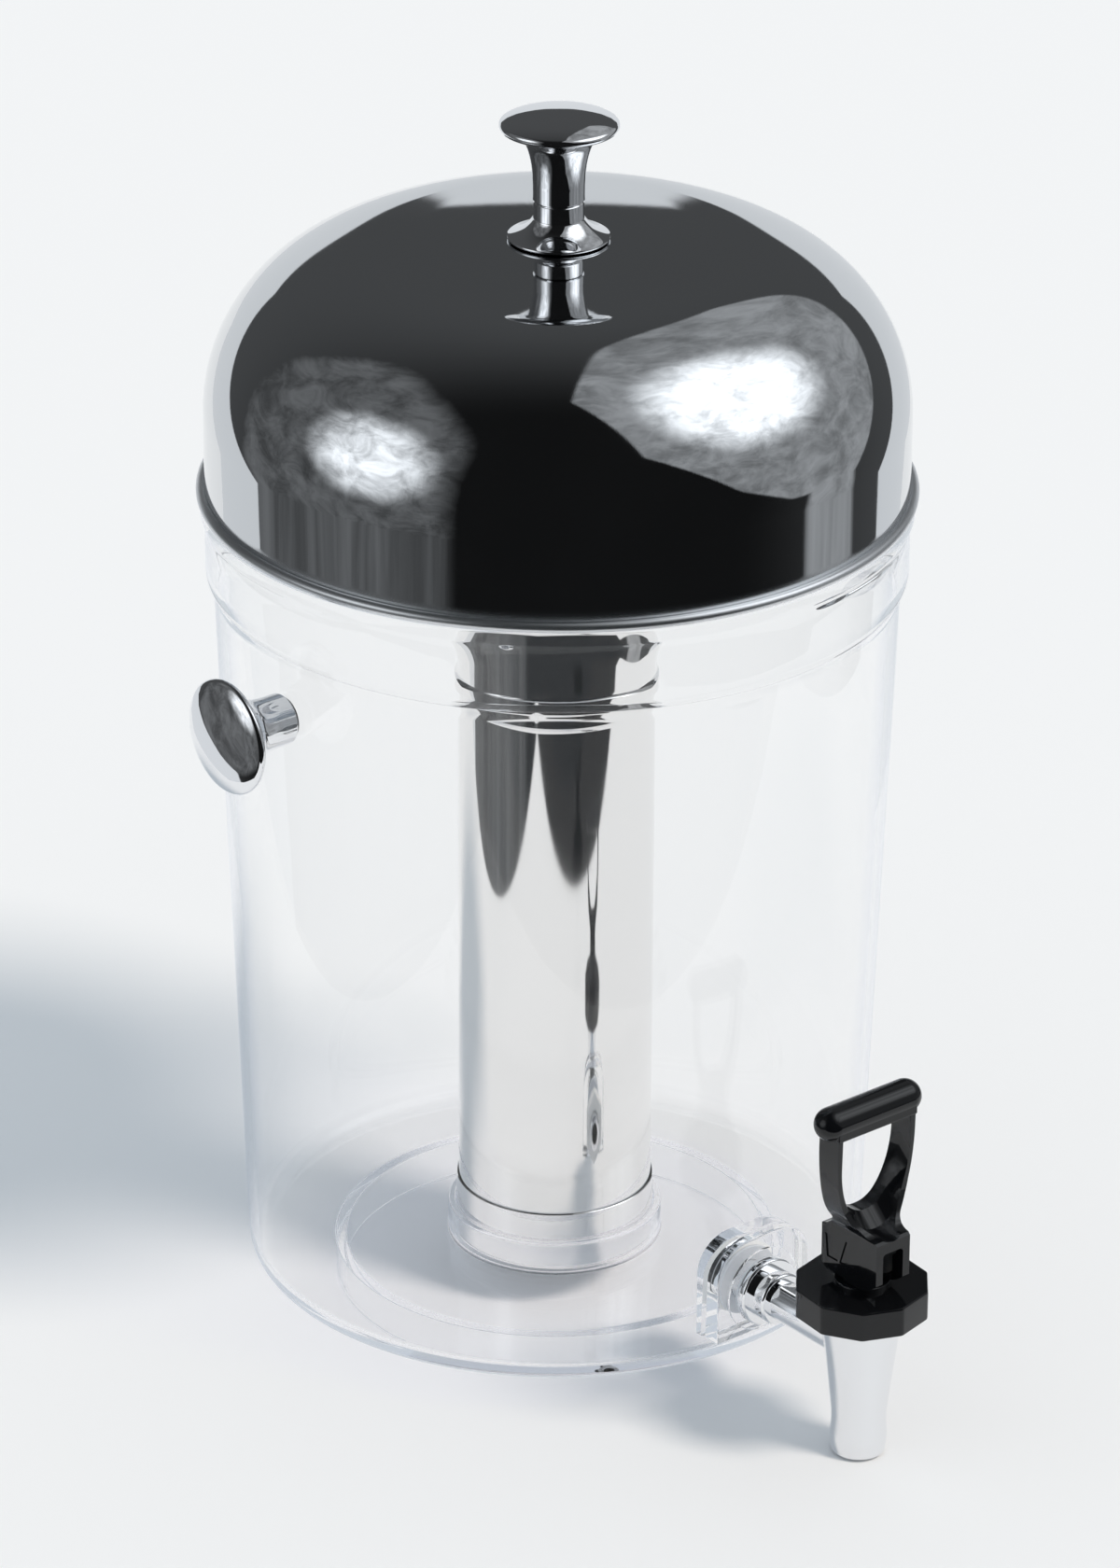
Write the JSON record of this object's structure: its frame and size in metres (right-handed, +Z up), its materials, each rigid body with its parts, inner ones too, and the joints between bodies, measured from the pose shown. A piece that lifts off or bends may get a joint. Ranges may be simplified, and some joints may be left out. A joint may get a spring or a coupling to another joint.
{
  "type": "juice dispenser",
  "caption": "Clear countertop juice dispenser with a polished domed lid, a central ice tube and a lever tap at the front.",
  "frame": {"origin": "on the table, midway between the front corner of the tap's nut and the back of the lid, in the plane of symmetry", "axes": "+Z up; the tap points to -Y; the side knobs point to -X and +X"},
  "size_m": [0.2862, 0.3028, 0.429],
  "materials": {
    "clear_plastic": "clear, polished moulding",
    "polished_steel": "mirror polished with fine scratches",
    "chrome": "bright chrome plate",
    "black_plastic": "glossy moulding",
    "dark_rubber": "matte",
    "pale_silicone": "satin",
    "white_plastic": "satin moulding",
    "plain_steel": "plain"
  },
  "bodies": {
    "container_body": {"container": "clear_plastic", "side_knob_left": "chrome", "side_knob_right": "chrome", "side_knob_washer_left": "dark_rubber", "side_knob_washer_right": "dark_rubber", "side_knob_stud_left": "plain_steel", "side_knob_stud_right": "plain_steel", "tap_body": "chrome", "tap_outer_washer": "pale_silicone", "tap_inner_washer": "pale_silicone", "tap_back_nut": "white_plastic", "bonnet_nut": "black_plastic", "valve_spring": "plain_steel"},
    "lid_body": {"lid_dome": "polished_steel", "lid_knob_base": "chrome", "lid_knob_head": "chrome", "lid_knob_washer": "plain_steel", "lid_knob_screw": "plain_steel"},
    "ice_tube_body": {"ice_tube": "polished_steel", "ice_tube_base": "polished_steel"},
    "valve_body": {"valve_stem": "white_plastic", "valve_seat_cup": "pale_silicone"},
    "lever_body": {"lever": "black_plastic", "lever_pin": "plain_steel"}
  },
  "joints": [
    {"name": "lid_lift", "type": "slide", "parent": "container_body", "child": "lid_body", "axis": [0, 0, 1], "range_m": [0, 0.15]},
    {"name": "ice_tube_lift", "type": "slide", "parent": "container_body", "child": "ice_tube_body", "axis": [0, 0, 1], "range_m": [0, 0.07]},
    {"name": "valve_lift", "type": "slide", "parent": "container_body", "child": "valve_body", "axis": [0, 0, 1], "range_m": [0, 0.00363], "stiffness_N_per_m": 2000, "springref_m": -0.0025, "deforming": ["valve_spring"]},
    {"name": "lever_tilt", "type": "hinge", "parent": "valve_body", "child": "lever_body", "pos_m": [0, -0.12859, 0.0779], "axis": [1, 0, 0], "range_deg": [0, 40]}
  ],
  "couplings": [
    {"joint": "lever_tilt", "follows": "valve_lift", "rad_per_m": 192.3}
  ]
}
